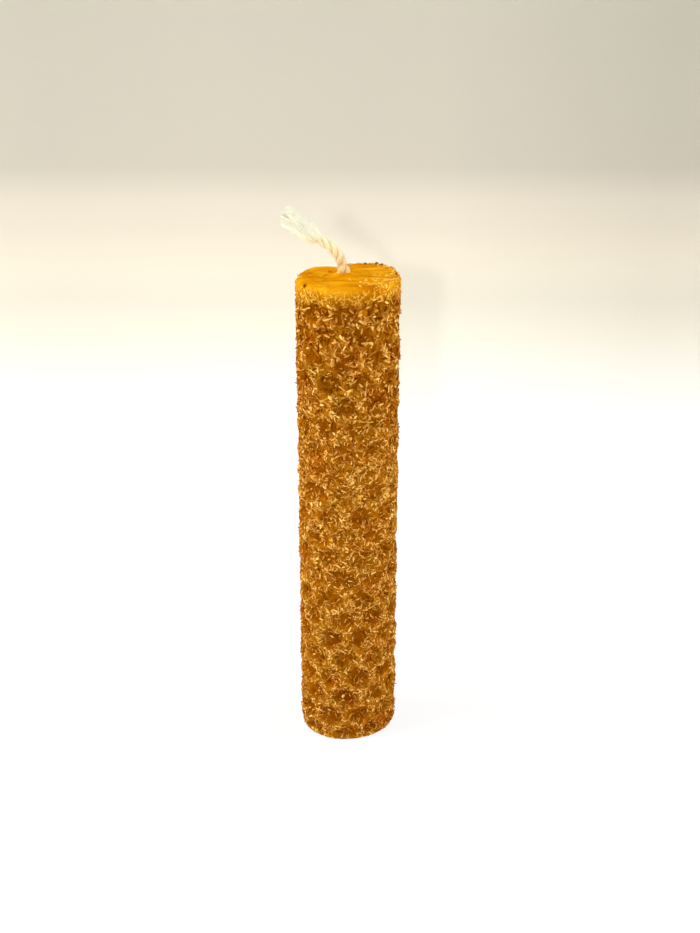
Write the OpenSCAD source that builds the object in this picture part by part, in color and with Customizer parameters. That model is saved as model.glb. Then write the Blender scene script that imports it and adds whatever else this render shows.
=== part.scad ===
// Rolled honeycomb candle with a herb coat.
// A sheet of embossed wax is rolled round a twisted cotton wick. Its outer turn
// shows the hexagonal cells, and chips of dried herb are stuck to the cell walls.
// The origin is on the wick's axis, in the plane of the base. +Z is up.

/* [Wax roll] */
// Height of the candle at the middle of its top
candle_h = 100; // [60:0.5:160]
// Full turns of the sheet around the wick
turns = 3; // [2:1:4]
// Thickness of the honeycomb sheet over its cell walls
sheet_t = 2.75; // [2:0.01:3.4]
// Air line left between one turn and the next
turn_gap = 0.12; // [0.06:0.01:0.3]
// Where in its thickness the sheet keeps its length as it is rolled, from its inner face
bend_line = 0.35; // [0.25:0.05:0.6]
// Direction of the sheet's outer edge, seen from above, in degrees
seam_dir = 95; // [0:1:359]
// Arc over which that edge is pressed down, in degrees
seam_arc = 40; // [20:1:50]
// Thickness left at the pressed edge
seam_edge_t = 0.5; // [0.3:0.05:1]
// Slope of the cut top, in degrees
top_slope = 1.5; // [0.5:0.5:5]
// Direction in which the top falls away, in degrees
slope_dir = 200; // [0:1:359]
// Width of the softened rim
rim_w = 0.6; // [0.3:0.1:1]

/* [Honeycomb] */
// Width of a cell across its flats
cell_pitch = 5.4; // [4.8:0.1:6.2]
// Depth of a cell, down to the point of its floor
cell_depth = 1.3; // [1.1:0.05:1.6]
// Depth at which the cell's walls meet its floor
wall_h = 0.85; // [0.6:0.05:1]
// Depth of the sloped shoulder of a cell wall
shoulder_h = 0.3; // [0.15:0.05:0.5]
// Width of a cell wall under its shoulder
shoulder_w = 1.3; // [1.1:0.1:1.6]
// Width of a cell wall at its foot
foot_w = 1.9; // [1.7:0.1:2.4]
// Height of the lowest row of cells, at their middle
first_row_z = 1.3; // [0.6:0.1:4]
// Plain band of smoothed wax under the rim
plain_h = 1; // [0.8:0.1:6]
// Plain band pressed smooth at the foot
foot_h = 0.5; // [0.2:0.1:1.5]

/* [Wick] */
// Diameter of the twisted wick
wick_d = 2.1; // [1.4:0.1:2.8]
// Clearance all round between the wick and the wax
wick_clearance = 0.05; // [0.03:0.01:0.15]
// Distance from the base to the wick's lower end
wick_recess = 0.6; // [0.2:0.1:3]
// Length of wick that stands out of the wax
wick_out = 16.5; // [14:0.5:30]
// Lean of the wick's outer part from upright, in degrees
wick_lean = 58; // [0:1:70]
// Length of wick above the wax before it starts to lean
lean_from = 1; // [0.2:0.1:2]
// Length of wick over which it leans
lean_over = 6.5; // [5:0.5:12]
// Length of wick for one turn of its strands
strand_lay = 6.5; // [4:0.5:10]
// Depth of the creases between the strands, as a share of the radius
crease = 0.26; // [0.1:0.01:0.35]
// Length of the loosened end
fray_len = 8.5; // [4:0.5:12]
// Width of the loosened end
fray_d = 3.6; // [2.4:0.1:4.2]

/* [Herb coat] */
// Length of the longest chips
chip_len = 2.3; // [1.2:0.1:2.4]
// Width of a chip
chip_w = 0.6; // [0.3:0.05:0.8]
// Thickness of a chip
chip_t = 0.25; // [0.15:0.05:0.4]
// Chips lying on the cut top
top_chips = 12; // [0:1:20]

/* [Hidden] */
$fn = 96;

WAX = [0.72, 0.43, 0.09];
COTTON = [0.93, 0.89, 0.74];
HERB = [0.86, 0.66, 0.33];
STRANDS = 3;
SIDES = 6 * STRANDS;   // points round the wick
RING_STEP = 0.6;       // length of wick between two rings of points
TUFTS = 7;             // bundles of fibre at the wick's end
CHIP_SEAT = 0.02;      // clearance under a chip
OVER = 0.4;            // how far a cutting shape stands past the wax
MOUTH_RISE = 0.25;     // how far a cell's cutting shape stands past the wax
MOUTH_GAP = 0.1;       // distance between two of them there
ACROSS = [0, 1, 1, 0, -1, -1];             // the corners of a cell, in half widths
UP = [1, 0.5, -0.5, -1, -0.5, 0.5];        // and in radii

roll_pitch = sheet_t + turn_gap;
bore_r = wick_d / 2 + wick_clearance;
last = 2 * turns - 1;              // the outermost half turn, on the -Y side before the seam is turned
arc_shift = roll_pitch / 4;        // half turns are centred by turns on -X and +X of the axis
far = 4 * outer_r(last);           // larger than the candle is wide
far_drop = outer_r(last) * tan(top_slope);      // fall of the top from the middle to its low side
// How far a chip may lie to either side of its place
chip_play = max(cell_pitch / sqrt(3) - chip_len, 0) / 2;

// Half turns are numbered from the wick outwards. Even ones lie on +Y and odd ones on -Y.
function arc_x(j) = j % 2 == 0 ? -arc_shift : arc_shift;
function inner_r(j) = bore_r + roll_pitch / 2 * j;
function outer_r(j) = inner_r(j) + sheet_t;
// Radius at which half turn j keeps the flat sheet's length
function true_r(j) = inner_r(j) + bend_line * sheet_t;

// Near the seam the outer turn is pressed to a smaller arc. It leaves the turn's own arc
// without a corner and comes down to the edge's thickness at the seam.
edge_r = inner_r(last) + seam_edge_t;
press_shift = (pow(outer_r(last), 2) - pow(edge_r, 2)) / (2 * (outer_r(last) - edge_r * cos(seam_arc)));
pressed_r = outer_r(last) - press_shift;
pressed_centre = [arc_x(last) + press_shift * cos(seam_arc), -press_shift * sin(seam_arc)];

// Places along the outer turn are lengths of flat sheet, back from its outer edge.
edge_run = true_r(last) * PI;                    // run of the outermost half turn
outer_run = edge_run + true_r(last - 1) * PI;    // run of the whole outer turn
function half_at(run) = run < edge_run ? last : last - 1;
function angle_at(run) = run < edge_run
    ? 360 - run / true_r(last) * 180 / PI
    : 180 - (run - edge_run) / true_r(last - 1) * 180 / PI;

// Rows of cells, offset by half a cell from one to the next
row_step = cell_pitch * sqrt(3) / 2;
rows = floor((candle_h - plain_h - far_drop - cell_pitch / sqrt(3) - first_row_z) / row_step) + 1;
cells_round = floor(outer_run / cell_pitch - 0.5);
function cell_run(row, i) = (i + (row % 2 == 0 ? 0.5 : 1)) * cell_pitch;
function row_z(row) = first_row_z + row * row_step;

// A number from 0 to 1 that looks random but is the same each time
function scatter(n, salt) = let (v = sin(n * 127.1 + salt * 311.7) * 437.585) v - floor(v);
function polar(r, angle, z) = [r * cos(angle), r * sin(angle), z];
function smooth(t) = let (c = min(max(t, 0), 1)) c * c * (3 - 2 * c);

// Puts its children in the frame of the cut top: the origin on the wick's axis and +Z out of the wax
module on_top() {
    translate([0, 0, candle_h])
        rotate([0, 0, slope_dir]) rotate([0, top_slope, 0]) rotate([0, 0, -slope_dir])
            children();
}

module half_plane(j) {
    translate([-far, j % 2 == 0 ? 0 : -far]) square([2 * far, far]);
}

module half_disc(j, r) {
    intersection() {
        translate([arc_x(j), 0]) circle(r);
        half_plane(j);
    }
}

module half_ring(j, r_in, r_out) {
    intersection() {
        translate([arc_x(j), 0]) difference() {
            circle(r_out);
            circle(r_in);
        }
        half_plane(j);
    }
}

// What is pressed off the outer turn at its edge
module pressed_off() {
    difference() {
        intersection() {
            half_ring(last, inner_r(last), outer_r(last) + OVER);
            translate([arc_x(last), 0])
                polygon([[0, 0], [far * cos(seam_arc), -far * sin(seam_arc)], [far, 0]]);
        }
        translate(pressed_centre) circle(pressed_r);
    }
}

// Section of the roll. The first turn is squeezed solid round the wick, and an air line
// runs out from it between the turns to the seam.
module roll_section() {
    difference() {
        union() {
            half_disc(last, outer_r(last));
            half_disc(last - 1, outer_r(last - 1));
        }
        pressed_off();
        for (j = [2 : last]) half_ring(j, inner_r(j) - turn_gap, inner_r(j));
    }
}

// The hollow of one cell, with +X out of the wax. Its mouth stands over the wax, and its floor
// is three rhombs that meet at the deepest point.
module cell_hollow(r, flat_r) {
    half_angle = cell_pitch / flat_r / 2 * 180 / PI;
    rings = [
        [r + MOUTH_RISE, MOUTH_GAP, 0],
        [r - shoulder_h, shoulder_w, 0],
        [r - wall_h, foot_w, (cell_depth - wall_h) / 2]
    ];
    function corner(ring, k) = let (
            width = half_angle - ring[1] / 2 / ring[0] * 180 / PI,
            height = (cell_pitch - ring[1]) / sqrt(3)
        ) polar(ring[0] - (k % 2) * ring[2], ACROSS[k] * width, UP[k] * height);
    corners = [for (ring = rings) for (k = [0 : 5]) corner(ring, k)];
    foot = 6 * (len(rings) - 1);
    deepest = len(corners);
    polyhedron(
        points = concat(corners, [[r - cell_depth, 0, 0]]),
        faces = concat(
            [for (k = [1 : 4]) [0, k, k + 1]],
            [for (a = [0 : foot - 1]) for (half = [0, 1])
                let (b = a % 6 == 5 ? a - 5 : a + 1)
                half == 0 ? [a, b + 6, b] : [a, a + 6, b + 6]],
            [for (k = [0 : 5]) [foot + (k + 1) % 6, foot + k, deepest]]
        )
    );
}

module row_hollows(row) {
    for (i = [0 : cells_round - 1]) {
        run = cell_run(row, i);
        j = half_at(run);
        translate([arc_x(j), 0, row_z(row)]) rotate([0, 0, angle_at(run)])
            cell_hollow(outer_r(j), true_r(j));
    }
}

// All cells. Those of the lowest row end at the foot, which is pressed smooth.
module cell_hollows() {
    intersection() {
        row_hollows(0);
        translate([-far, -far, foot_h]) cube([2 * far, 2 * far, candle_h]);
    }
    for (row = [1 : rows - 1]) row_hollows(row);
}

// Takes the corner off the rim, half turn by half turn
module rim_cutter() {
    high = rim_w + 2 * OVER;
    for (j = [last - 1, last]) intersection() {
        translate([arc_x(j), 0, OVER - high]) difference() {
            cylinder(r = outer_r(j) + high, h = high);
            translate([0, 0, -1])
                cylinder(r1 = outer_r(j) + OVER + 1, r2 = outer_r(j) - rim_w - OVER, h = high + 1);
        }
        translate([-far, j % 2 == 0 ? 0 : -far, -far]) cube([2 * far, far, 2 * far]);
    }
}

module wax_roll() {
    color(WAX) difference() {
        rotate([0, 0, seam_dir]) difference() {
            linear_extrude(candle_h + far_drop) roll_section();
            cell_hollows();
        }
        on_top() {
            translate([-far, -far, 0]) cube([2 * far, 2 * far, far]);
            rotate([0, 0, seam_dir]) rim_cutter();
        }
        translate([0, 0, -OVER]) cylinder(r = bore_r, h = candle_h + far_drop + 2 * OVER);
    }
}

// The wick's route above the wax: it leans over towards -X
function lean_at(run) = wick_lean * smooth((run - lean_from) / lean_over);
out_rings = ceil(wick_out / RING_STEP);
out_step = wick_out / out_rings;
function along(lean) = out_step * [-sin(lean), cos(lean)];
route = [for (i = 0, at = [0, candle_h]; i <= out_rings;
    at = at + along(lean_at((i + 0.5) * out_step)), i = i + 1) at];

// From 0 where the wick comes loose to 1 at a share of the loosened end
function loose(run, share) = smooth((run - wick_out + fray_len) / (share * fray_len));
function wick_r(run) = (wick_d + (fray_d - wick_d) * loose(run, 0.6)) / 2;
function crease_at(run) = crease * (1 + 0.5 * loose(run, 1));
// Round point k of the ring at a run, on three strands with a crease between each two
function strand_r(run, k) = wick_r(run) * (1 - crease_at(run) * (1 - abs(cos(180 / SIDES * STRANDS * k))));
function ring_point(i, k) = let (
        run = i * out_step,
        lean = lean_at(run),
        turn = 360 * (k / SIDES + run / strand_lay),
        r = strand_r(run, k)
    ) [route[i][0] + r * cos(turn) * cos(lean), r * sin(turn), route[i][1] + r * cos(turn) * sin(lean)];

// The twisted strands above the wax, closed at both ends by a fan of faces
module wick_twist() {
    rings = out_rings + 1;
    ring_points = [for (i = [0 : out_rings]) for (k = [0 : SIDES - 1]) ring_point(i, k)];
    end = len(ring_points) - SIDES;    // the first point of the last ring
    low = len(ring_points);            // the middle of the first ring
    high = low + 1;                    // and of the last one
    tip = route[out_rings];
    polyhedron(
        points = concat(ring_points, [[0, 0, candle_h], [tip[0], 0, tip[1]]]),
        faces = concat(
            [for (k = [0 : SIDES - 1]) [low, k, (k + 1) % SIDES]],
            [for (i = [0 : rings - 2]) for (k = [0 : SIDES - 1]) for (half = [0, 1])
                let (a = i * SIDES + k, b = i * SIDES + (k + 1) % SIDES)
                half == 0 ? [a, a + SIDES, b + SIDES] : [a, b + SIDES, b]],
            [for (k = [0 : SIDES - 1]) [high, end + (k + 1) % SIDES, end + k]]
        )
    );
}

// Bundles of fibre that splay from the wick's end
module wick_tufts() {
    tip = route[out_rings];
    translate([tip[0], 0, tip[1]]) rotate([0, -wick_lean, 0])
        for (n = [0 : TUFTS - 1]) rotate([0, 0, n * 360 / TUFTS])
            translate([n % 2 == 0 ? fray_d / 4 : fray_d / 8, 0, -1])
                rotate([0, 10 + 8 * scatter(n, 3), 0])
                    cylinder(r1 = fray_d / 6, r2 = fray_d / 18, h = 1.8 + 1.2 * scatter(n, 5), $fn = 16);
}

module wick() {
    color(COTTON) {
        translate([0, 0, wick_recess]) cylinder(r = wick_d / 2, h = candle_h - wick_recess);
        wick_twist();
        wick_tufts();
    }
}

// A splinter of stalk or husk, lying flat with +Z away from the wax
module chip(n) {
    long = chip_len * (0.6 + 0.4 * scatter(n, 1));
    wide = chip_w * (0.7 + 0.3 * scatter(n, 2));
    skew = 0.3 * (scatter(n, 4) - 0.5);
    rotate([0, 0, 180 * scatter(n, 7)]) linear_extrude(chip_t * (0.7 + 0.3 * scatter(n, 6)))
        polygon([[-long / 2, 0], [long * skew, -wide / 2], [long / 2, 0], [-long * skew, wide / 2]]);
}

// Lays its children on the outer turn, with +Z away from the wax
module on_skin(run, z) {
    j = half_at(run);
    angle = angle_at(run);
    into_press = angle - 360 + seam_arc;
    pressed = into_press > 0;
    centre = pressed ? pressed_centre : [arc_x(j), 0];
    r = pressed ? pressed_r : outer_r(j);
    facing = pressed ? angle + asin(press_shift * sin(into_press) / pressed_r) : angle;
    translate([centre[0], centre[1], z]) rotate([0, 0, facing])
        translate([r + CHIP_SEAT, 0, 0]) rotate([0, 90, 0]) children();
}

// Chips sit where three cell walls meet, above and below each cell
module wall_chips() {
    for (row = [0 : rows - 1]) for (i = [0 : cells_round - 1]) for (side = row == 0 ? [1] : [-1, 1]) {
        n = 2 * (row * cells_round + i) + (side + 1) / 2;
        aside = chip_play * (2 * scatter(n, 10) - 1);
        on_skin(cell_run(row, i) + aside, row_z(row) + side * cell_pitch / sqrt(3)) chip(n);
    }
}

// Chips that fell on the top, in a ring between the wick and the rim
module lying_chips() {
    if (top_chips > 0) on_top() for (n = [0 : top_chips - 1])
        rotate([0, 0, (n + 0.4 * scatter(n, 8)) * 360 / top_chips])
            translate([outer_r(last - 1) * (0.6 + 0.15 * scatter(n, 9)), 0, CHIP_SEAT]) chip(1000 + n);
}

module herb_chips() {
    color(HERB) {
        rotate([0, 0, seam_dir]) wall_chips();
        lying_chips();
    }
}

wax_roll();
wick();
herb_chips();
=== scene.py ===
# %% [markdown]
# # A rolled honeycomb candle in a coat of herbs
#
# The real candle is one sheet of beeswax, embossed with honeycomb cells. It is warmed and rolled round
# a cotton wick, its ends are pressed smooth, and it is turned in chopped herbs while it is still tacky.
# This lesson makes it in the same order: sheet, roll, wick, herbs. The frame comes first, because it
# holds the plain solids that the finished pieces take the place of.

import math
from collections import namedtuple

import bpy
import numpy as np
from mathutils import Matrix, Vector
from mathutils.bvhtree import BVHTree


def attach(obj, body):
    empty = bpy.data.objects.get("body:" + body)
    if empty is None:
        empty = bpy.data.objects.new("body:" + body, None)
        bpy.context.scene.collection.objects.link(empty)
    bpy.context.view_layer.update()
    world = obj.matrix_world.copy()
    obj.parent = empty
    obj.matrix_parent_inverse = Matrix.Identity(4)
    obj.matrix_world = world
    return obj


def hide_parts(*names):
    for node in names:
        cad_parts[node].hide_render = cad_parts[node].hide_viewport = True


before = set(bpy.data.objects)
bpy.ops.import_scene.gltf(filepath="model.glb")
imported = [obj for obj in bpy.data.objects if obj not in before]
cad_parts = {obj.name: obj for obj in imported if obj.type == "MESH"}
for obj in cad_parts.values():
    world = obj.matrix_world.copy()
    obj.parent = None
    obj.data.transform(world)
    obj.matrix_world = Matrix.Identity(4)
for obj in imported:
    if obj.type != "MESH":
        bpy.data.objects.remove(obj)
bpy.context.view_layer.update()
bpy.ops.object.select_all(action="DESELECT")
MM = 0.001

# %% [markdown]
# ## The camera
#
# The photo looks down on the candle from close by, so its sides draw together towards the base. A lens
# and a place for the camera are found by fitting the outline of a cylinder. The lens is given in pixels
# of the photo's height, which the camera's own units follow from.

# %% Place the camera
PHOTO_H = 933
LENS_PX = 1266
SENSOR_MM = 24
CAMERA_AT = (1.1, -246.0, 154.7)
LOOKS_DOWN = 21.08
camera_data = bpy.data.cameras.new("photo_camera")
camera_data.sensor_fit = "VERTICAL"
camera_data.sensor_height = SENSOR_MM
camera_data.lens = LENS_PX * SENSOR_MM / PHOTO_H
camera_data.clip_start = 0.01
camera = bpy.data.objects.new("photo_camera", camera_data)
bpy.context.scene.collection.objects.link(camera)
camera.location = [v * MM for v in CAMERA_AT]
camera.rotation_euler = (math.radians(90 - LOOKS_DOWN), 0, 0)
bpy.context.scene.camera = camera
print("camera lens in mm:", round(camera_data.lens, 2))

# %% [markdown]
# ## Tools for the finishes
#
# Wax, cotton and herbs all need small changes of tone and a fine unevenness of their surface. One node
# group gives both, from noise on Object coordinates. It is built once and placed in each material with
# its own grain and its own stretch. Short helpers add the other nodes, so that each finish reads as a
# list of its colours.

# %% Grain group
grain_group = bpy.data.node_groups.new("natural_grain", "ShaderNodeTree")
for name, kind in (("Grain per metre", "Float"), ("Roughness", "Float"), ("Stretch", "Vector")):
    grain_group.interface.new_socket(name, in_out="INPUT", socket_type="NodeSocket" + kind)
for name in ("Tone", "Fine"):
    grain_group.interface.new_socket(name, in_out="OUTPUT", socket_type="NodeSocketFloat")
gn, gl = grain_group.nodes, grain_group.links
group_in, group_out = gn.new("NodeGroupInput"), gn.new("NodeGroupOutput")
where = gn.new("ShaderNodeTexCoord")
stretched = gn.new("ShaderNodeVectorMath")
stretched.operation = "MULTIPLY"
gl.new(where.outputs["Object"], stretched.inputs[0])
gl.new(group_in.outputs["Stretch"], stretched.inputs[1])
broad, fine = gn.new("ShaderNodeTexNoise"), gn.new("ShaderNodeTexNoise")
finer = gn.new("ShaderNodeMath")
finer.operation = "MULTIPLY"
finer.inputs[1].default_value = 6.0
for noise_node in (broad, fine):
    noise_node.inputs["Detail"].default_value = 4
    gl.new(stretched.outputs[0], noise_node.inputs["Vector"])
    gl.new(group_in.outputs["Roughness"], noise_node.inputs["Roughness"])
gl.new(group_in.outputs["Grain per metre"], broad.inputs["Scale"])
gl.new(group_in.outputs["Grain per metre"], finer.inputs[0])
gl.new(finer.outputs[0], fine.inputs["Scale"])
gl.new(broad.outputs["Fac"], group_out.inputs["Tone"])
gl.new(fine.outputs["Fac"], group_out.inputs["Fine"])
print("grain group sockets:", len(grain_group.interface.items_tree))


# %% Helpers for the finishes
def new_finish(name):
    """A material with its node tree and its shader."""
    finish = bpy.data.materials.new(name)
    finish.use_nodes = True
    return finish, finish.node_tree, finish.node_tree.nodes["Principled BSDF"]


def add_grain(tree, per_metre, roughness, stretch=(1, 1, 1)):
    node = tree.nodes.new("ShaderNodeGroup")
    node.node_tree = grain_group
    node.inputs["Grain per metre"].default_value = per_metre
    node.inputs["Roughness"].default_value = roughness
    node.inputs["Stretch"].default_value = stretch
    return node


def add_mask(tree, name):
    node = tree.nodes.new("ShaderNodeAttribute")
    node.attribute_name = name
    return node.outputs["Fac"]


def add_ramp(tree, source, stops):
    """A colour ramp with its stops as (place, colour)."""
    ramp = tree.nodes.new("ShaderNodeValToRGB")
    while len(ramp.color_ramp.elements) < len(stops):
        ramp.color_ramp.elements.new(0.5)
    for element, (stop, colour) in zip(ramp.color_ramp.elements, stops):
        element.position, element.color = stop, colour
    tree.links.new(source, ramp.inputs["Fac"])
    return ramp.outputs["Color"]


def feed(tree, socket, value):
    """Links a socket to another one, or sets it to a value."""
    if isinstance(value, bpy.types.NodeSocket):
        tree.links.new(value, socket)
    else:
        socket.default_value = value


def add_mix(tree, share, first, second, kind="MIX"):
    mix = tree.nodes.new("ShaderNodeMix")
    mix.data_type = "RGBA"
    mix.blend_type = kind
    for socket, value in zip((mix.inputs[0], mix.inputs[6], mix.inputs[7]), (share, first, second)):
        feed(tree, socket, value)
    return mix.outputs[2]


def add_math(tree, kind, first, second):
    node = tree.nodes.new("ShaderNodeMath")
    node.operation = kind
    feed(tree, node.inputs[0], first)
    feed(tree, node.inputs[1], second)
    return node.outputs[0]


def add_range(tree, source, low, high, at_low=0.0, at_high=1.0):
    """Carries a value from one range over to another, and holds it there at both ends."""
    node = tree.nodes.new("ShaderNodeMapRange")
    for name, value in zip(("From Min", "From Max", "To Min", "To Max"), (low, high, at_low, at_high)):
        node.inputs[name].default_value = value
    tree.links.new(source, node.inputs["Value"])
    return node.outputs["Result"]


def add_axes(tree):
    """The X, Y and Z of a place on the piece, in metres."""
    coords, split = tree.nodes.new("ShaderNodeTexCoord"), tree.nodes.new("ShaderNodeSeparateXYZ")
    tree.links.new(coords.outputs["Object"], split.inputs[0])
    return split.outputs


def add_bump(tree, shader, height, distance_mm):
    bump = tree.nodes.new("ShaderNodeBump")
    bump.inputs["Distance"].default_value = distance_mm * MM
    bump.inputs["Strength"].default_value = 1.0
    tree.links.new(height, bump.inputs["Height"])
    tree.links.new(bump.outputs["Normal"], shader.inputs["Normal"])


def triangles(piece):
    return sum(len(f.vertices) - 2 for f in piece.data.polygons)


def stand_for(piece, node):
    """Makes a finished piece take the place of a solid."""
    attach(piece, "root")
    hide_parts(node)


print("helpers for the finishes are ready")

# %% [markdown]
# ## Floor, wall and light
#
# A candle like this is shown on a sheet of white card that curves up behind it. The card is a plane
# whose far edge is pulled up in edit mode and bevelled into a curve. Its floor is white, and its wall
# is painted darker upwards and to both sides, as painted shade where less light reaches it. Near the
# floor most of what the camera sees of it is glow, so that the floor stays white. Higher up most is
# paper, so that the wall can take a shadow. The candle stands between two soft boxes, the left one
# stronger, and a small lamp beside the camera throws that shadow.


# %% Colours as they look on a screen
def screen(red, green, blue):
    """A colour given as screen values from 0 to 255, as the linear colour that Blender wants."""
    def linear(v):
        v /= 255
        return v / 12.92 if v <= 0.04045 else ((v + 0.055) / 1.055) ** 2.4

    return (linear(red), linear(green), linear(blue), 1.0)


print("mid grey is", round(screen(128, 128, 128)[0], 3))

# %% Curved card
CARD_BACK, CARD_CURVE = 0.16, 0.06
CARD_WIDTH, WALL_HEIGHT = 1.6, 0.9
NEAR_EDGE = 0.01
bpy.ops.mesh.primitive_plane_add(size=CARD_WIDTH, location=(0, CARD_BACK - CARD_WIDTH / 2, 0))
card = bpy.context.object
card.name = "white_card"
bpy.ops.object.transform_apply(location=True, rotation=True, scale=True)


def pick_edges(piece, wanted):
    """Selects the edges whose two ends both pass the test, ready for edit mode."""
    bpy.ops.object.mode_set(mode="EDIT")
    bpy.ops.mesh.select_mode(type="EDGE")
    bpy.ops.mesh.select_all(action="DESELECT")
    bpy.ops.object.mode_set(mode="OBJECT")
    for edge in piece.data.edges:
        edge.select = all(wanted(piece.data.vertices[v].co) for v in edge.vertices)
    bpy.ops.object.mode_set(mode="EDIT")


pick_edges(card, lambda co: co.y > CARD_BACK - NEAR_EDGE)
bpy.ops.mesh.extrude_region_move(TRANSFORM_OT_translate={"value": (0, 0, WALL_HEIGHT)})
bpy.ops.object.mode_set(mode="OBJECT")
pick_edges(card, lambda co: co.y > CARD_BACK - NEAR_EDGE and co.z < NEAR_EDGE)
bpy.ops.mesh.bevel(offset=CARD_CURVE, segments=24, profile=0.5, affect="EDGES")
bpy.ops.object.mode_set(mode="OBJECT")
bpy.ops.object.shade_smooth()
print("card faces:", len(card.data.polygons))

# %% Card finish
# Painted shade: the card is white on the floor and is painted greyer up the wall and towards both sides.
CARD_STOPS_WITH_PAINTED_SHADE = [
    (0.00, screen(255, 255, 255)),
    (0.09, screen(255, 255, 253)),
    (0.29, screen(235, 230, 213)),
    (0.354, screen(226, 220, 203)),
    (0.416, screen(226, 219, 201)),
    (0.459, screen(223, 214, 196)),
    (0.497, screen(217, 209, 192)),
    (0.556, screen(212, 204, 188)),
    (0.586, screen(204, 197, 181)),
    (0.62, screen(194, 188, 173)),
    (1.00, screen(189, 184, 169)),
]
TONED_H = 0.16
WALL_LEFT, WALL_RIGHT = -0.10, 0.11
SIDE_PAINTED_SHADE_STOPS = [(0.03, 0.94), (0.29, 1.0), (0.62, 1.0), (0.78, 0.93), (0.95, 0.85)]
WALL_FROM, PAPER_FROM = 0.05, 0.07
GLOW_ON_FLOOR, GLOW_ON_WALL = 0.75, 0.05
card_look = bpy.data.materials.new("card_white_painted_shade")
card_look.use_nodes = True
tree = card_look.node_tree
tree.nodes.clear()
axes = add_axes(tree)
painted_shade_upwards = add_ramp(tree, add_range(tree, axes["Z"], 0, TONED_H), CARD_STOPS_WITH_PAINTED_SHADE)
side_shade_greys = [(stop, (grey, grey, grey, 1)) for stop, grey in SIDE_PAINTED_SHADE_STOPS]
painted_shade_sideways = add_ramp(tree, add_range(tree, axes["X"], WALL_LEFT, WALL_RIGHT), side_shade_greys)
card_colour_and_painted_shade = add_mix(tree, add_range(tree, axes["Z"], 0, WALL_FROM), painted_shade_upwards, painted_shade_sideways, "MULTIPLY")
path = tree.nodes.new("ShaderNodeLightPath").outputs
seen = add_math(tree, "MAXIMUM", path["Is Camera Ray"], path["Is Glossy Ray"])
seen = add_math(tree, "MAXIMUM", seen, path["Is Transmission Ray"])
glow_share = add_range(tree, axes["Z"], 0, PAPER_FROM, GLOW_ON_FLOOR, GLOW_ON_WALL)
paper, glow = tree.nodes.new("ShaderNodeBsdfDiffuse"), tree.nodes.new("ShaderNodeEmission")
both, out = tree.nodes.new("ShaderNodeMixShader"), tree.nodes.new("ShaderNodeOutputMaterial")
for source, socket in (
    (card_colour_and_painted_shade, paper.inputs["Color"]),
    (card_colour_and_painted_shade, glow.inputs["Color"]),
    (add_math(tree, "MULTIPLY", seen, glow_share), both.inputs[0]),
    (paper.outputs[0], both.inputs[1]),
    (glow.outputs[0], both.inputs[2]),
    (both.outputs[0], out.inputs["Surface"]),
):
    tree.links.new(source, socket)
card.data.materials.append(card_look)
print("card stops:", len(CARD_STOPS_WITH_PAINTED_SHADE))


# %% Lamps and room
def add_lamp(name, place, aim, size, power):
    """A square lamp, in metres and watts, turned to a place and unseen by the camera."""
    lamp_data = bpy.data.lights.new(name, "AREA")
    lamp_data.shape = "SQUARE"
    lamp_data.size = size
    lamp_data.energy = power
    lamp = bpy.data.objects.new(name, lamp_data)
    bpy.context.scene.collection.objects.link(lamp)
    lamp.location = place
    lamp.rotation_euler = (Vector(aim) - Vector(place)).to_track_quat("-Z", "Y").to_euler()
    lamp.visible_camera = False


CANDLE_MIDDLE = (0, 0, 0.055)
BOX_SIZE, SPOT_SIZE = 0.36, 0.010
ROOM_COLOUR, ROOM_STRENGTH = (1.0, 0.985, 0.95, 1), 0.30
add_lamp("left_box", (-0.45, -0.04, 0.35), CANDLE_MIDDLE, BOX_SIZE, 2.85)
add_lamp("right_box", (0.47, -0.02, 0.35), CANDLE_MIDDLE, BOX_SIZE, 2.42)
add_lamp("camera_lamp", (-0.028, -0.30, 0.167), CANDLE_MIDDLE, SPOT_SIZE, 0.36)
world = bpy.data.worlds.new("pale_room")
bpy.context.scene.world = world
world.use_nodes = True
world.node_tree.nodes["Background"].inputs["Color"].default_value = ROOM_COLOUR
world.node_tree.nodes["Background"].inputs["Strength"].default_value = ROOM_STRENGTH
bpy.context.scene.view_settings.view_transform = "Standard"
print("lamps:", len(bpy.data.lights))

# %% [markdown]
# ## How the sheet is rolled
#
# A roll is drawn as half circles about two centres, each half turn one step wider than the last. The
# sheet keeps its length along a line inside its thickness, so the cells on its outside are stretched.
# `roll_up` takes a place on the flat sheet, as a run back from its outer edge and a height out of its
# face, to its place on the candle. Near the edge the sheet is pressed down to a tighter arc.

# %% Sizes of the roll
CANDLE_H = 100.0
SHEET_T = 2.75
TURN_GAP = 0.12
BEND_LINE = 0.35
BORE_R = 1.1
LAST = 5
SEAM_DIR = math.radians(95)
SEAM_ARC = math.radians(40)
SEAM_EDGE_T = 0.5
TOP_SLOPE = math.tan(math.radians(0.6))
SLOPE_DIR = math.radians(200)
LEFT_RISE, RIGHT_RISE, BACK_RISE = 0.75, 0.45, 0.15
ARC_SHIFT = (SHEET_T + TURN_GAP) / 4


def inner_r(half_turn):
    return BORE_R + (SHEET_T + TURN_GAP) / 2 * half_turn


OUTER_R = [inner_r(LAST - 1) + SHEET_T, inner_r(LAST) + SHEET_T]
TRUE_R = [inner_r(LAST - 1) + BEND_LINE * SHEET_T, inner_r(LAST) + BEND_LINE * SHEET_T]
EDGE_RUN = TRUE_R[1] * math.pi
OUTER_RUN = EDGE_RUN + TRUE_R[0] * math.pi
EDGE_R = inner_r(LAST) + SEAM_EDGE_T
PRESS_SHIFT = (OUTER_R[1] ** 2 - EDGE_R**2) / (2 * (OUTER_R[1] - EDGE_R * math.cos(SEAM_ARC)))
PRESSED_R = OUTER_R[1] - PRESS_SHIFT
print("flat length of the outer turn in mm:", round(OUTER_RUN, 2))


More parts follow.
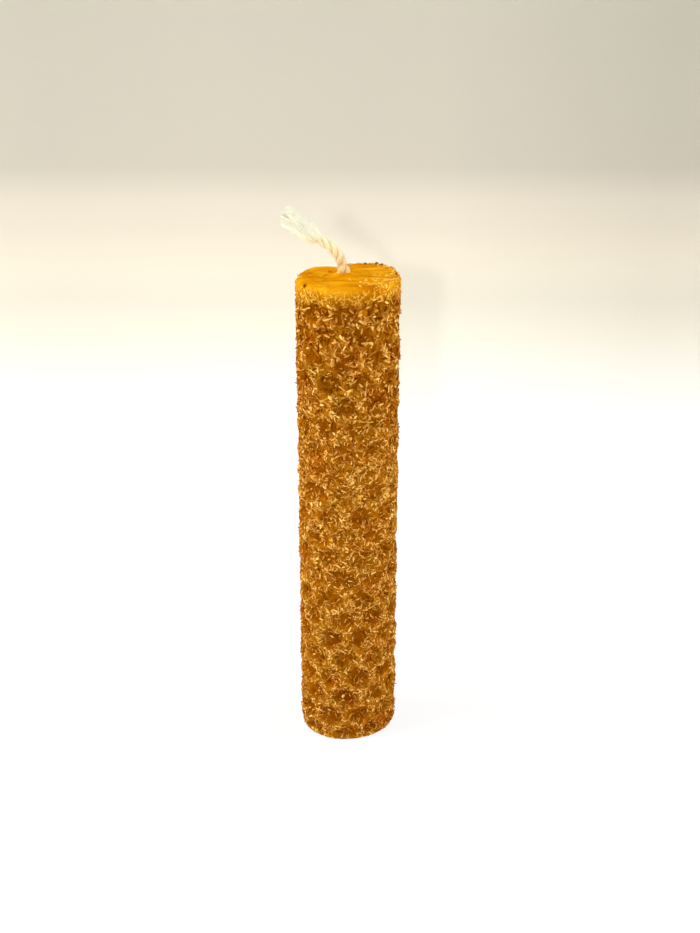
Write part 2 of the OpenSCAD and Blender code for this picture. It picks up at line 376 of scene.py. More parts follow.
# %% Rolling the sheet
def roll_up(run, out):
    """Where a run along the sheet and a height out of its face come to, seen from above, in mm."""
    outermost = run < EDGE_RUN
    angle = np.where(outermost, 2 * math.pi - run / TRUE_R[1], math.pi - (run - EDGE_RUN) / TRUE_R[0])
    into_press = np.maximum(angle - 2 * math.pi + SEAM_ARC, 0)
    off_centre = (PRESS_SHIFT * np.sin(into_press)) ** 2
    pressed = PRESS_SHIFT * np.cos(into_press) + np.sqrt(PRESSED_R**2 - off_centre)
    radius = np.where(outermost, np.where(into_press > 0, pressed, OUTER_R[1]), OUTER_R[0]) + out
    centre = np.where(outermost, ARC_SHIFT, -ARC_SHIFT)
    x = centre + radius * np.cos(angle)
    y = radius * np.sin(angle)
    turn_x = x * math.cos(SEAM_DIR) - y * math.sin(SEAM_DIR)
    turn_y = x * math.sin(SEAM_DIR) + y * math.cos(SEAM_DIR)
    return turn_x, turn_y, angle + SEAM_DIR


def smooth(t):
    t = np.clip(t, 0, 1)
    return t * t * (3 - 2 * t)


def top_height(x, y):
    """Height of the top in mm: a slanting cut with its two back corners left a little high."""
    slant = CANDLE_H - TOP_SLOPE * (x * math.cos(SLOPE_DIR) + y * math.sin(SLOPE_DIR))
    left, right, back = np.clip(-x / 8, 0, 1), np.clip(x / 8, 0, 1), smooth(y / 8)
    return (
        slant
        + LEFT_RISE * left * smooth((y + 6) / 10)
        + RIGHT_RISE * right * smooth(y / 6)
        + BACK_RISE * back
    )


print("outer edge lies at", [round(float(v), 2) for v in roll_up(np.array(0.0), np.array(0.0))[:2]])

# %% [markdown]
# ## The honeycomb pattern
#
# A hexagon's edge is where the distance to its centre, measured across the flats, comes to half the
# pitch. `cell_mask` works that out for every point of the sheet, from 0 on a wall's crest to 1 in the
# bed of a cell. Hands and warm wax are never exact, so the walls wander a little, and each cell has a
# depth of its own: those at mid height are half filled with herbs.

# %% Mask of the cells
CELL = 5.4
ROW_STEP = CELL * math.sqrt(3) / 2
FIRST_ROW = 1.3
ROWS = 21
pattern_draw = np.random.default_rng(54)
cell_depths = pattern_draw.uniform(0.0, 1.0, (ROWS + 6, 16))
wander_phase = pattern_draw.uniform(0, 2 * math.pi, (2, 3))


def wander(run, z, phase):
    """A slow drift of the walls, in mm."""
    a, b, c = phase
    return (
        0.20 * np.sin(run * 0.55 + z * 0.23 + a)
        + 0.16 * np.sin(z * 0.61 - run * 0.37 + b)
        + 0.10 * np.sin(run * 1.3 + z * 1.1 + c)
    )


FILLED_FROM, FILLED_TO, SHALLOW_FROM = 26, 84, 82
LEAST_DEPTH, DRAWN_DEPTH = 0.66, 0.34
CREST, SLOPE = 0.15, 1.35
FOOT_BAND, TOP_BAND, BAND_FADE = 0.1, 96.4, 1.6


def cell_mask(run, z):
    """From 0 on the cell walls to 1 in the beds of the deepest cells."""
    run_w = run + wander(run, z, wander_phase[0])
    z_w = z + wander(run, z, wander_phase[1])
    best = np.full(np.shape(run), 1e9)
    own = np.ones(np.shape(run))
    for odd in (0, 1):
        row = 2 * np.round((z_w - FIRST_ROW - odd * ROW_STEP) / (2 * ROW_STEP)) + odd
        column = np.round(run_w / CELL - (1.0 if odd else 0.5))
        dx = np.abs(run_w - (column + (1.0 if odd else 0.5)) * CELL)
        dz = np.abs(z_w - FIRST_ROW - row * ROW_STEP)
        across = np.maximum(dx, dx * 0.5 + dz * math.sqrt(3) / 2)
        nearer = across < best
        best = np.where(nearer, across, best)
        row_at = np.clip(row + 2, 0, ROWS + 5).astype(int)
        column_at = np.clip(column + 2, 0, 15).astype(int)
        own = np.where(nearer, cell_depths[row_at, column_at], own)
    mid_height = smooth((z - FILLED_FROM) / 12) * smooth((FILLED_TO - z) / 10)
    near_top = smooth((z - SHALLOW_FROM) / 8)
    least = LEAST_DEPTH - 0.30 * mid_height - 0.20 * near_top
    depth = least + (DRAWN_DEPTH + 0.10 * mid_height) * own
    bed = smooth((CELL / 2 - best - CREST) / SLOPE)
    ends = smooth((z - FOOT_BAND) / BAND_FADE) * (1 - smooth((z - TOP_BAND) / BAND_FADE))
    edges = smooth(run / 2.0) * smooth((OUTER_RUN - run) / 1.0)
    return bed * depth * ends * edges


PROBES = np.array([27.0, 29.7]), np.array([18.1, 20.0])
print("mask on a wall and in a cell:", cell_mask(*PROBES).round(2))

# %% [markdown]
# ## The wax
#
# The sheet starts as a flat grid. It is longer than the candle is high, because what stands over at
# each end is folded in to close the roll. The cells are pressed in while the sheet is flat, with a
# Displace modifier that follows a vertex group: this is how the embossing rollers do it. Then every
# point is rolled up, the seam is merged and the hole for the wick is bridged.

# %% Flat sheet
RIM_R = 0.9
SIDE_TOP = CANDLE_H - RIM_R
RIM_RUN = RIM_R * math.pi / 2
FOLD = 8.9
GRID_ALONG, GRID_UP = 0.236, 0.3
CELL_DEPTH = 1.3
low_end, high_end = -FOLD, SIDE_TOP + RIM_RUN + FOLD
columns = round(OUTER_RUN / GRID_ALONG)
grid_rows = round((high_end - low_end) / GRID_UP)
bpy.ops.object.select_all(action="DESELECT")
bpy.ops.mesh.primitive_grid_add(
    x_subdivisions=columns,
    y_subdivisions=grid_rows,
    size=1,
    location=(OUTER_RUN / 2 * MM, (low_end + high_end) / 2 * MM, 0),
)
wax = bpy.context.object
wax.name = "honeycomb_wax"
wax.scale = (OUTER_RUN * MM, (high_end - low_end) * MM, 1)
bpy.ops.object.transform_apply(location=True, rotation=True, scale=True)


def read_points(piece):
    flat = np.empty(len(piece.data.vertices) * 3)
    piece.data.vertices.foreach_get("co", flat)
    return flat.reshape(-1, 3) / MM


def write_points(piece, points):
    piece.data.vertices.foreach_set("co", (points * MM).ravel())
    piece.data.update()


def write_mask(piece, name, values):
    layer = piece.data.attributes.new(name=name, type="FLOAT", domain="POINT")
    layer.data.foreach_set("value", values.astype(np.float32))


sheet = read_points(wax)
run_at, fold_at = sheet[:, 0], sheet[:, 1]
print("points on the flat sheet:", len(sheet))


# %% Pressing in the cells
def displace(piece, name, strength, group="", texture=None, direction="NORMAL"):
    """Adds a Displace modifier, in mm, and applies it."""
    bpy.context.view_layer.objects.active = piece
    change = piece.modifiers.new(name, "DISPLACE")
    change.direction = direction
    change.strength = strength * MM
    change.vertex_group = group
    change.mid_level = 0.0
    if texture:
        change.texture = texture
        change.texture_coords = "LOCAL"
        change.mid_level = 0.5
    bpy.ops.object.modifier_apply(modifier=name)


def paint_group(piece, name, weights):
    group = piece.vertex_groups.new(name=name)
    for i, w in enumerate(weights):
        if w > 0:
            group.add([i], float(w), "REPLACE")


mask = cell_mask(run_at, np.clip(fold_at, 0, CANDLE_H))
mask[(fold_at > SIDE_TOP) | (fold_at < 0)] = 0
paint_group(wax, "cells", mask)
displace(wax, "emboss", -CELL_DEPTH, group="cells", direction="Z")
write_mask(wax, "dimple", mask)
print("deepest cell in mm:", round(float(read_points(wax)[:, 2].min()), 2))

# %% Rolling up, and folding the ends in
RIM_WIDTH, RIM_MORE_LEFT = 0.75, 0.55
FOOT_WEAR, WEAR_OVER = 0.4, 0.5
FIT_FROM = 88
pressed = read_points(wax)
_, _, facing = roll_up(run_at, np.zeros(len(run_at)))
to_left = np.clip(-np.cos(facing), 0, 1)
rim = RIM_WIDTH + RIM_MORE_LEFT * to_left**2 + 0.12 * np.sin(3 * facing) + 0.10 * np.sin(7 * facing + 1)
rim_turn = np.clip((fold_at - SIDE_TOP) / RIM_RUN, 0, 1) * math.pi / 2
foot_wear = FOOT_WEAR * np.exp(-np.maximum(fold_at, 0) / WEAR_OVER)
out_of_face = pressed[:, 2] - rim * (1 - np.cos(rim_turn)) - foot_wear
outline_x, outline_y, angle = roll_up(run_at, out_of_face)
inward = np.where(fold_at < 0, -fold_at / FOLD, np.clip((fold_at - SIDE_TOP - RIM_RUN) / FOLD, 0, 1))
x = outline_x * (1 - inward) + BORE_R * np.cos(angle) * inward
y = outline_y * (1 - inward) + BORE_R * np.sin(angle) * inward
edge_z = top_height(outline_x, outline_y)
side_z = fold_at + (edge_z - rim - SIDE_TOP) * smooth((fold_at - FIT_FROM) / (SIDE_TOP - FIT_FROM))
rim_z = edge_z - rim * (1 - np.sin(rim_turn))
print("width of the rim in mm:", round(float(rim.min()), 2), "to", round(float(rim.max()), 2))

# %% Sealed top, with faint lines between the turns
LINE_DEPTH, LINE_WIDTH, LINE_WANDER = 0.10, 0.26, 0.12
LINES_FROM = 1.6
CLIMB_H, CLIMB_WIDTH = 0.95, 1.1
SEAL_FROM, SEAL_OVER = 97.2, 2.2


def groove(x, y):
    """How deep the air line between the turns shows in the sealed top, from 0 to 1."""
    back_x = x * math.cos(SEAM_DIR) + y * math.sin(SEAM_DIR)
    back_y = y * math.cos(SEAM_DIR) - x * math.sin(SEAM_DIR)
    depth = np.zeros(np.shape(x))
    for half_turn in range(2, LAST + 1):
        even = half_turn % 2 == 0
        centre = -ARC_SHIFT if even else ARC_SHIFT
        off = np.hypot(back_x - centre, back_y) - inner_r(half_turn) + TURN_GAP / 2
        off = off + LINE_WANDER * np.sin(5 * np.arctan2(back_y, back_x) + half_turn)
        on_side = back_y >= 0 if even else back_y < 0
        depth = np.maximum(depth, np.where(on_side, np.exp(-((off / LINE_WIDTH) ** 2)), 0))
    return depth


from_wick = np.hypot(x, y)
line = groove(x, y) * np.where(fold_at > SIDE_TOP, smooth((from_wick - LINES_FROM) / 1.0), 0)
climb = CLIMB_H * np.exp(-(((from_wick - BORE_R) / CLIMB_WIDTH) ** 2))
top_z = top_height(x, y) - LINE_DEPTH * line + climb
z = np.where(fold_at < 0, 0, np.where(fold_at < SIDE_TOP, side_z, np.where(inward > 0, top_z, rim_z)))
write_points(wax, np.stack([x, y, z], axis=1))
write_mask(wax, "groove", line)
write_mask(wax, "sealed", np.where(fold_at > 0, smooth((fold_at - SEAL_FROM) / SEAL_OVER), 0))
print("rolled size in mm:", [round(float(v.max() - v.min()), 2) for v in (x, y, z)])

# %% Closing the seam and the bore
last_column = np.isclose(run_at, OUTER_RUN, atol=1e-4)
first_column = np.isclose(run_at, 0, atol=1e-4)
points = read_points(wax)
points[last_column] = points[first_column]
write_points(wax, points)
bpy.context.view_layer.objects.active = wax
bpy.ops.object.mode_set(mode="EDIT")
bpy.ops.mesh.select_mode(type="VERT")
bpy.ops.mesh.select_all(action="SELECT")
bpy.ops.mesh.remove_doubles(threshold=0.002 * MM)
bpy.ops.mesh.select_all(action="DESELECT")
bpy.ops.mesh.select_mode(type="EDGE")
bpy.ops.mesh.select_non_manifold(
    extend=False,
    use_wire=False,
    use_boundary=True,
    use_multi_face=False,
    use_non_contiguous=False,
    use_verts=False,
)
bpy.ops.mesh.bridge_edge_loops()
bpy.ops.mesh.select_all(action="SELECT")
bpy.ops.mesh.normals_make_consistent(inside=False)
bpy.ops.object.mode_set(mode="OBJECT")


def open_edges(piece):
    uses = np.zeros(len(piece.data.edges), dtype=int)
    loops = np.empty(len(piece.data.loops), dtype=np.int32)
    piece.data.loops.foreach_get("edge_index", loops)
    np.add.at(uses, loops, 1)
    return int((uses != 2).sum())


print("open edges on the wax:", open_edges(wax))

# %% Lumps and smears
paint_group(wax, "off_the_floor", np.clip(read_points(wax)[:, 2] / 0.8, 0, 1))
for name, grain_mm, strength in (("lumps", 4.5, 0.34), ("smears", 1.3, 0.18)):
    noise = bpy.data.textures.new(name, "CLOUDS")
    noise.noise_scale = grain_mm * MM
    noise.noise_depth = 2
    displace(wax, name, strength, group="off_the_floor", texture=noise)
bpy.ops.object.select_all(action="DESELECT")
wax.select_set(True)
bpy.ops.object.shade_smooth_by_angle(angle=math.radians(55))
print("wax triangles:", triangles(wax))

# %% [markdown]
# ## Beeswax
#
# Raw beeswax is a deep amber, goldener on the thin ridges that light can enter from both sides. The beds
# of the cells are painted darker than the ridges: partly the deeper amber of thick wax, partly painted
# shade in the hollows. The sealed top was pressed with a warm tool; it is painted brighter than the
# sides, as painted light on the face turned up to the lamps. The material reads the masks that were
# painted on the sheet: cells, sealed top and spiral line. A common gloss would mirror the white card
# and turn the wax grey, so a small share of metal gives it a gloss of its own colour.

# %% Patches
OLIVE, PLAIN, RED = (0.95, 1.0, 0.88, 1), (1, 1, 1, 1), (0.92, 0.78, 0.70, 1)
PATCHES = [(0.36, OLIVE), (0.46, PLAIN), (0.53, PLAIN), (0.66, RED)]


def add_patches(tree, colour):
    """Large soft patches of olive and red over a colour, the same ones on the wax and on the herbs."""
    patches = add_grain(tree, 150, 0.5)
    return add_mix(tree, 1.0, colour, add_ramp(tree, patches.outputs["Tone"], PATCHES), "MULTIPLY")


print("patch stops:", len(PATCHES))

# %% Wax finish
WARM_GLOSS = (1.0, 0.80, 0.45, 1.0)
wax_look, tree, shader = new_finish("beeswax")
grain = add_grain(tree, 420, 0.6)
smear = add_grain(tree, 260, 0.55, (0.35, 1.6, 1.0))
ridge = add_ramp(tree, grain.outputs["Tone"], [(0.3, screen(141, 79, 0)), (0.7, screen(181, 111, 9))])
# Painted shade: the beds of the cells get a darker amber than the ridges, partly the wax's deeper colour
# and partly shade in the hollows.
bed = add_ramp(tree, grain.outputs["Tone"], [(0.3, screen(115, 53, 0)), (0.7, screen(141, 73, 0))])
side_colour_and_painted_shade = add_patches(tree, add_mix(tree, add_mask(tree, "dimple"), ridge, bed))
# Painted light: the sealed top is given a brighter gold than the sides, for light on the face turned up
# to the lamps.
CAP_TONES_WITH_PAINTED_LIGHT = [(0.30, screen(184, 106, 0)), (0.48, screen(214, 142, 8)), (0.70, screen(236, 170, 24))]
cap_with_painted_light = add_ramp(tree, smear.outputs["Tone"], CAP_TONES_WITH_PAINTED_LIGHT)
in_line = add_math(tree, "MULTIPLY", add_mask(tree, "groove"), 0.4)
lined = add_mix(tree, in_line, cap_with_painted_light, screen(190, 108, 4))
skin = add_mix(tree, add_mask(tree, "sealed"), side_colour_and_painted_shade, lined)
tree.links.new(skin, shader.inputs["Base Color"])
shader.inputs["Roughness"].default_value = 0.36
shader.inputs["Specular IOR Level"].default_value = 0.0
shader.inputs["Metallic"].default_value = 0.10
shader.inputs["Specular Tint"].default_value = WARM_GLOSS
shader.inputs["Subsurface Weight"].default_value = 0.12
shader.inputs["Subsurface Radius"].default_value = (1.0, 0.5, 0.06)
shader.inputs["Subsurface Scale"].default_value = 0.8 * MM
add_bump(tree, shader, grain.outputs["Fine"], 0.10)
wax.data.materials.append(wax_look)
stand_for(wax, "wax_roll")
print("wax finish:", wax_look.name)

# %% [markdown]
# ## The wick
#
# The wick is a soft cotton cord of three strands, laid up like a rope. It stands up from the wax, falls
# over to the left, and has come undone over its last centimetre into a pale brush of loose fibre. The
# strands and fibres are curves with a round bevel, converted to mesh and joined.

# %% Route of the wick
WICK_R = 0.94
FOOT_LEAN, BEND = math.radians(13), math.radians(45)
BEND_FROM, BEND_OVER = 2.0, 6.0
STEP, ROUTE_POINTS = 0.1, 230
BURIED = 2.0
FRAY_FROM, WICK_END = 9.2, 17.9
BRUSH_RISE = 0.5


def smooth_at(t):
    return float(smooth(np.array(t)))


def lean_at(run):
    """The cord leans a little from its foot on, and bends right over further up."""
    return FOOT_LEAN * smooth_at((run + 0.4) / 0.8) + BEND * smooth_at((run - BEND_FROM) / BEND_OVER)


route = [(0.0, CANDLE_H - BURIED)]
while len(route) < ROUTE_POINTS:
    lean = lean_at(len(route) * STEP - BURIED)
    route.append((route[-1][0] - STEP * math.sin(lean), route[-1][1] + STEP * math.cos(lean)))


def on_wick(run, across=0.0, deep=0.0):
    """A point at a run from the top of the wax, across the lean and into the view, in metres."""
    at = (run + BURIED) / STEP
    i = min(int(at), len(route) - 2)
    part = at - i
    px = route[i][0] * (1 - part) + route[i + 1][0] * part
    pz = route[i][1] * (1 - part) + route[i + 1][1] * part
    lean = lean_at(run)
    across += BRUSH_RISE * smooth_at((run - FRAY_FROM) / (WICK_END - FRAY_FROM))
    return Vector((px + across * math.cos(lean), deep, pz + across * math.sin(lean))) * MM


print("wick's end in mm:", [round(v / MM, 1) for v in on_wick(WICK_END)])


# %% Strands
def new_bundle(name, thickness, sides):
    data = bpy.data.curves.new(name, "CURVE")
    data.dimensions = "3D"
    data.bevel_depth = thickness * MM
    data.bevel_resolution = sides
    data.use_fill_caps = True
    bundle = bpy.data.objects.new(name, data)
    bpy.context.scene.collection.objects.link(bundle)
    return bundle


def add_thread(bundle, points, sizes):
    line = bundle.data.splines.new("POLY")
    line.points.add(len(points) - 1)
    for knot, place, size in zip(line.points, points, sizes):
        knot.co = (*place, 1)
        knot.radius = size


def to_mesh(bundle):
    bpy.ops.object.select_all(action="DESELECT")
    bundle.select_set(True)
    bpy.context.view_layer.objects.active = bundle
    bpy.ops.object.convert(target="MESH")
    return bpy.context.object


STRANDS, LAY, STRAND_R = 3, 5.6, 0.50
STRAND_RUN, KNOTS = FRAY_FROM + 3.5, 100
LOOSENED = 0.9
strands = new_bundle("wick_strands", STRAND_R, 3)
for strand in range(STRANDS):
    points, sizes = [], []
    for i in range(KNOTS + 1):
        run = -BURIED + i * STRAND_RUN / KNOTS
        turn = 2 * math.pi * (run / LAY + strand / STRANDS + 0.1)
        loose = smooth_at((run - FRAY_FROM) / 2.0)
        foot = smooth_at((run - 0.2) / 0.5) * smooth_at((2.4 - run) / 1.4)
        off = (WICK_R - STRAND_R) * (1 + LOOSENED * loose + LOOSENED * foot)
        points.append(on_wick(run, off * math.cos(turn), off * math.sin(turn)))
        sizes.append(1 + 0.2 * loose + 0.25 * foot + 0.05 * math.sin(run * 4 + strand))
    add_thread(strands, points, sizes)
strands = to_mesh(strands)
axis_runs = np.arange(-BURIED, FRAY_FROM + 4, STEP)
axis = np.array([on_wick(r)[:] for r in axis_runs]) / MM
knots = read_points(strands)
from_axis = np.min([np.linalg.norm(knots - spot, axis=1) for spot in axis], axis=0)
# Painted shade: points near the cord's axis, down between the strands, are marked to be drawn darker.
write_mask(strands, "furrow_shade", 1 - smooth((from_axis - 0.45) / 0.40))
print("strand faces:", len(strands.data.polygons))

# %% Cord inside the candle
core = new_bundle("wick_core", 1.0, 4)
add_thread(core, [Vector((0, 0, 0.6)) * MM, Vector((0, 0, CANDLE_H - 1.5)) * MM], [1, 1])
core = to_mesh(core)
print("core faces:", len(core.data.polygons))


# %% Tuft inside the brush
def brush_r(run):
    """Half width of the loosened end, which opens at once and goes on widening to its tip."""
    t = (run - FRAY_FROM) / (WICK_END - FRAY_FROM)
    return 0.92 + 0.68 * smooth_at(t * 6) + 0.28 * smooth_at(t)


tuft = new_bundle("wick_tuft", 1.0, 6)
tuft_runs = np.linspace(FRAY_FROM - 0.6, WICK_END - 2.1, 40)
add_thread(tuft, [on_wick(r) for r in tuft_runs], [max(brush_r(r) - 0.38, 0.3) for r in tuft_runs])
tuft = to_mesh(tuft)
fluff = bpy.data.textures.new("fluff", "CLOUDS")
fluff.noise_scale = 0.8 * MM
fluff.noise_depth = 3
displace(tuft, "fluff", 0.8, texture=fluff)
print("tuft faces:", len(tuft.data.polygons))

# %% Loose fibres
fray_draw = np.random.default_rng(18)
FIBRES, FUZZ = 900, 170


def brush_end(across):
    """Where the ragged cut ends: two peaks with a notch between them."""
    notch = 1.2 * math.exp(-(((across - 0.55) / 0.35) ** 2))
    return WICK_END - notch - 0.9 * smooth_at((-across - 0.4) / 1.2)


fibres = new_bundle("wick_fibres", 0.085, 0)
for n in range(FIBRES):
    start = fray_draw.uniform(FRAY_FROM - 0.7, WICK_END - 3.0)
    around = fray_draw.uniform(0, 2 * math.pi)
    twist = fray_draw.uniform(-0.5, 0.9)
    flare = fray_draw.uniform(-0.30, 0.22)
    deep_share = 1.0 if n % 3 else fray_draw.uniform(0.2, 1.0)
    length = fray_draw.uniform(2.2, 5.5)
    peak = brush_end(brush_r(WICK_END) * deep_share * math.cos(around + twist))
    limit = peak + fray_draw.uniform(-0.7, 0.3)
    end = min(start + length, limit) if n % 3 else limit
    points = []
    for k in range(6):
        t = k / 5
        run = start + (end - start) * t
        off = brush_r(run) * deep_share * (0.93 + flare * t * t) + fray_draw.normal(0, 0.05)
        turn = around + twist * t
        points.append(on_wick(run, off * math.cos(turn), off * math.sin(turn)))
    add_thread(fibres, points, [0.6, 1.0, 1.0, 0.9, 0.7, 0.35])
for n in range(FUZZ):
    run = fray_draw.uniform(0.5, WICK_END - 1.5)
    around = fray_draw.uniform(0, 2 * math.pi)
    body = brush_r(run) if run > FRAY_FROM else WICK_R
    reach = fray_draw.uniform(0.15, 0.45)
    curl = fray_draw.uniform(-0.5, 0.5)
    points = []
    for k in range(4):
        t = k / 3
        off, turn = body * 0.9 + reach * math.sin(t * 2.2), around + curl * t
        along = run + fray_draw.uniform(0.2, 0.4) * k
        points.append(on_wick(along, off * math.cos(turn), off * math.sin(turn)))
    add_thread(fibres, points, [0.5, 0.5, 0.45, 0.3])
fibres = to_mesh(fibres)
print("loose fibres:", FIBRES + FUZZ)

# %% Joining the wick
bpy.ops.object.select_all(action="DESELECT")
for part in (core, strands, tuft, fibres):
    part.select_set(True)
bpy.context.view_layer.objects.active = strands
bpy.ops.object.join()
wick = bpy.context.object
wick.name = "cotton_wick"
bpy.ops.object.shade_smooth()
print("wick triangles:", triangles(wick))

# %% [markdown]
# ## Cotton
#
# Wax has climbed into the foot of the wick and tints it a warm straw colour. Higher up the cotton is
# cream, and the loose brush is almost white. The height above the wax picks the colour, and the furrows
# between the strands are painted darker, as painted shade.

# %% Cotton finish
wick_look, tree, shader = new_finish("cotton")
grain = add_grain(tree, 1500, 0.65)
above = add_range(tree, add_axes(tree)["Z"], CANDLE_H * MM, (CANDLE_H + 9.0) * MM)
SOAKED = [
    (0.05, screen(240, 190, 116)),
    (0.2, screen(242, 210, 146)),
    (0.36, screen(244, 220, 164)),
    (0.75, screen(255, 246, 198)),
    (1.0, screen(255, 254, 232)),
]
soaked = add_ramp(tree, above, SOAKED)
streaks = add_ramp(tree, grain.outputs["Tone"], [(0.25, (0.88, 0.80, 0.60, 1)), (0.5, (1, 1, 1, 1))])
cotton = add_mix(tree, 0.6, soaked, streaks, "MULTIPLY")
# Painted shade: the furrows are mixed towards a dark tan.
in_furrow_shade = add_math(tree, "MULTIPLY", add_mask(tree, "furrow_shade"), 0.6)
tree.links.new(add_mix(tree, in_furrow_shade, cotton, screen(168, 118, 44)), shader.inputs["Base Color"])
shader.inputs["Roughness"].default_value = 0.85
shader.inputs["Specular IOR Level"].default_value = 0.1
shader.inputs["Sheen Weight"].default_value = 0.8
shader.inputs["Sheen Tint"].default_value = (1, 0.96, 0.84, 1)
add_bump(tree, shader, grain.outputs["Fine"], 0.1)
wick.data.materials.clear()
wick.data.materials.append(wick_look)
stand_for(wick, "wick")
print("cotton stops:", len(SOAKED))

# %% [markdown]
# ## The herb coat
#
# The coat is dried herb, rubbed small: flat splinters of stalk, rice-shaped flakes, curled husks and
# crumbs. Each kind is modelled once. Copies are then laid on the wax wherever a ray towards the axis
# meets it, thickly on the walls and thinly in the cells, each turned and tilted by chance.


# %% One of each kind
def model_once(add, change):
    """Adds a primitive, changes it in edit mode and gives it back."""
    bpy.ops.object.select_all(action="DESELECT")
    add()
    piece = bpy.context.object
    bpy.ops.object.mode_set(mode="EDIT")
    change()
    bpy.ops.object.mode_set(mode="OBJECT")
    return piece


def take_shape(piece):
    """The points and faces of a finished model. The model itself is removed."""
    points = np.array([v.co[:] for v in piece.data.vertices])
    faces = [tuple(f.vertices) for f in piece.data.polygons]
    bpy.data.objects.remove(piece)
    return points, faces


def turn_round(angle, axis):
    bpy.ops.transform.rotate(value=angle, orient_axis=axis, center_override=(0, 0, 0))


splinter = model_once(lambda: bpy.ops.mesh.primitive_cube_add(size=1), lambda: None)
for v in splinter.data.vertices:
    far_end = v.co.x > 0
    v.co.y = v.co.y * (0.5 if far_end else 0.9) + (0.2 if far_end else -0.1)
    v.co.z *= 1.0 if far_end else 0.6
SPLINTER = take_shape(splinter)

flake = model_once(
    lambda: bpy.ops.mesh.primitive_uv_sphere_add(segments=6, ring_count=4, radius=0.5),
    lambda: turn_round(math.pi / 2, "Y"),
)
# Blender hands over a sphere's faces in an order that changes from run to run, so it is fixed here.
flake_points, flake_faces = take_shape(flake)
FLAKE = flake_points, sorted(flake_faces)

crumb = model_once(
    lambda: bpy.ops.mesh.primitive_cone_add(vertices=4, radius1=0.6, radius2=0.0, depth=0.9),
    lambda: turn_round(0.5, "X"),
)
CRUMB = take_shape(crumb)

husk = model_once(
    lambda: bpy.ops.mesh.primitive_cube_add(size=1),
    lambda: bpy.ops.mesh.subdivide(number_cuts=1),
)
for v in husk.data.vertices:
    v.co.y *= 1 - 3.2 * v.co.x**2
curl = husk.modifiers.new("curl", "SIMPLE_DEFORM")
curl.deform_method = "BEND"
curl.deform_axis = "Z"
curl.angle = math.radians(70)
bpy.ops.object.modifier_apply(modifier="curl")
HUSK = take_shape(husk)
print("faces of each kind:", [len(faces) for _, faces in (SPLINTER, FLAKE, CRUMB, HUSK)])

# %% Finding places on the wax
coat_draw = np.random.default_rng(2026)
wax_tree = BVHTree.FromObject(wax, bpy.context.evaluated_depsgraph_get())


def meet_wax(origins, directions):
    """Where each ray meets the wax, in metres, and the normal there. Rays that miss are left out."""
    hits = [wax_tree.ray_cast(Vector(o), Vector(d))[:2] for o, d in zip(origins, directions)]
    kept = np.array([place is not None for place, _ in hits])
    places = np.array([tuple(place) for place, _ in hits if place is not None])
    normals = np.array([tuple(normal) for place, normal in hits if place is not None])
    return kept, places, normals


def unit(vectors):
    return vectors / np.linalg.norm(vectors, axis=1, keepdims=True)


def draw_sizes(kind, count):
    """Length, width and thickness of each herb, in mm."""
    limits_of = (kind.lengths, kind.widths, kind.depths)
    return np.stack([coat_draw.uniform(*limits, count) for limits in limits_of], axis=1)


def lay_down(shape, places, normals, sizes, tilt, lift):
    """Points of a copy of the shape at each place, lying on the wax with a chance turn, in metres."""
    count = len(places)
    up = unit(normals + coat_draw.normal(0, tilt, (count, 3)))
    long_way = unit(np.cross(up, coat_draw.normal(0, 1, (count, 3))))
    wide_way = np.cross(up, long_way)
    axes = np.stack([long_way, wide_way, up], axis=2) * sizes[:, None, :] * MM
    spots = places + up * lift[:, None] * MM
    return np.einsum("nij,pj->npi", axes, shape[0]) + spots[:, None, :]


def build_coat(name, kind, points, tones):
    """One mesh of all the copies, with each copy's tone as an attribute."""
    count, each = points.shape[:2]
    faces = [tuple(v + n * each for v in f) for n in range(count) for f in kind.shape[1]]
    data = bpy.data.meshes.new(name)
    data.from_pydata(points.reshape(-1, 3).tolist(), [], faces)
    piece = bpy.data.objects.new(name, data)
    bpy.context.scene.collection.objects.link(piece)
    write_mask(piece, "tone", np.repeat(tones, each))
    return piece


print("rays can be cast on", len(wax.data.polygons), "faces")

# %% [markdown]
# ## Where herbs stick
#
# The walls of the cells touched the herbs first, so they hold the most. Open cells keep a clean amber
# bed with a few flakes in it. Towards the rim the herbs thin out, most of all at the front. A few lie on
# the top, mainly on its right, and six dark bits lie on the rim.


# %% Chance of sticking
def side_share(run, z, in_cells, near_top):
    """Chance that a herb sticks at a place on the side."""
    hollow = cell_mask(run, z)
    _, _, facing = roll_up(run, np.zeros(len(run)))
    to_front = np.clip(-np.sin(facing), 0, 1) ** 2
    at_rim = 1 - smooth((z - 96.6) / 2.5) * (0.30 + 0.36 * to_front)
    by_height = 1 + (near_top - 1) * smooth((z - 74) / 12)
    return (1 - hollow * (1 - in_cells)) * at_rim * by_height / max(near_top, 1), hollow


print("chance on a wall and in a cell:", side_share(*PROBES, 0.13, 0.5)[0].round(2))

# %% Kinds of herb
# Sizes are in mm. What sticks in cells and near the top is a share of what sticks elsewhere.
Kind = namedtuple("Kind", "shape count lengths widths depths tilt in_cells near_top tone")
HERBS = {
    "herb_splinters": (SPLINTER, 13500, (0.5, 1.5), (0.16, 0.36), (0.08, 0.16), 0.13, 0.14, 0.5, 0.54),
    "herb_flakes": (FLAKE, 5200, (0.6, 1.3), (0.30, 0.52), (0.18, 0.28), 0.13, 0.30, 1.6, 0.60),
    "herb_husks": (HUSK, 3500, (0.8, 1.8), (0.26, 0.50), (0.12, 0.18), 0.18, 0.16, 0.6, 0.54),
    "herb_crumbs": (CRUMB, 12000, (0.22, 0.50), (0.18, 0.40), (0.14, 0.28), 0.40, 0.26, 0.5, 0.44),
}
KINDS = {name: Kind(*values) for name, values in HERBS.items()}
print("herbs asked for on the sides:", sum(kind.count for kind in KINDS.values()))

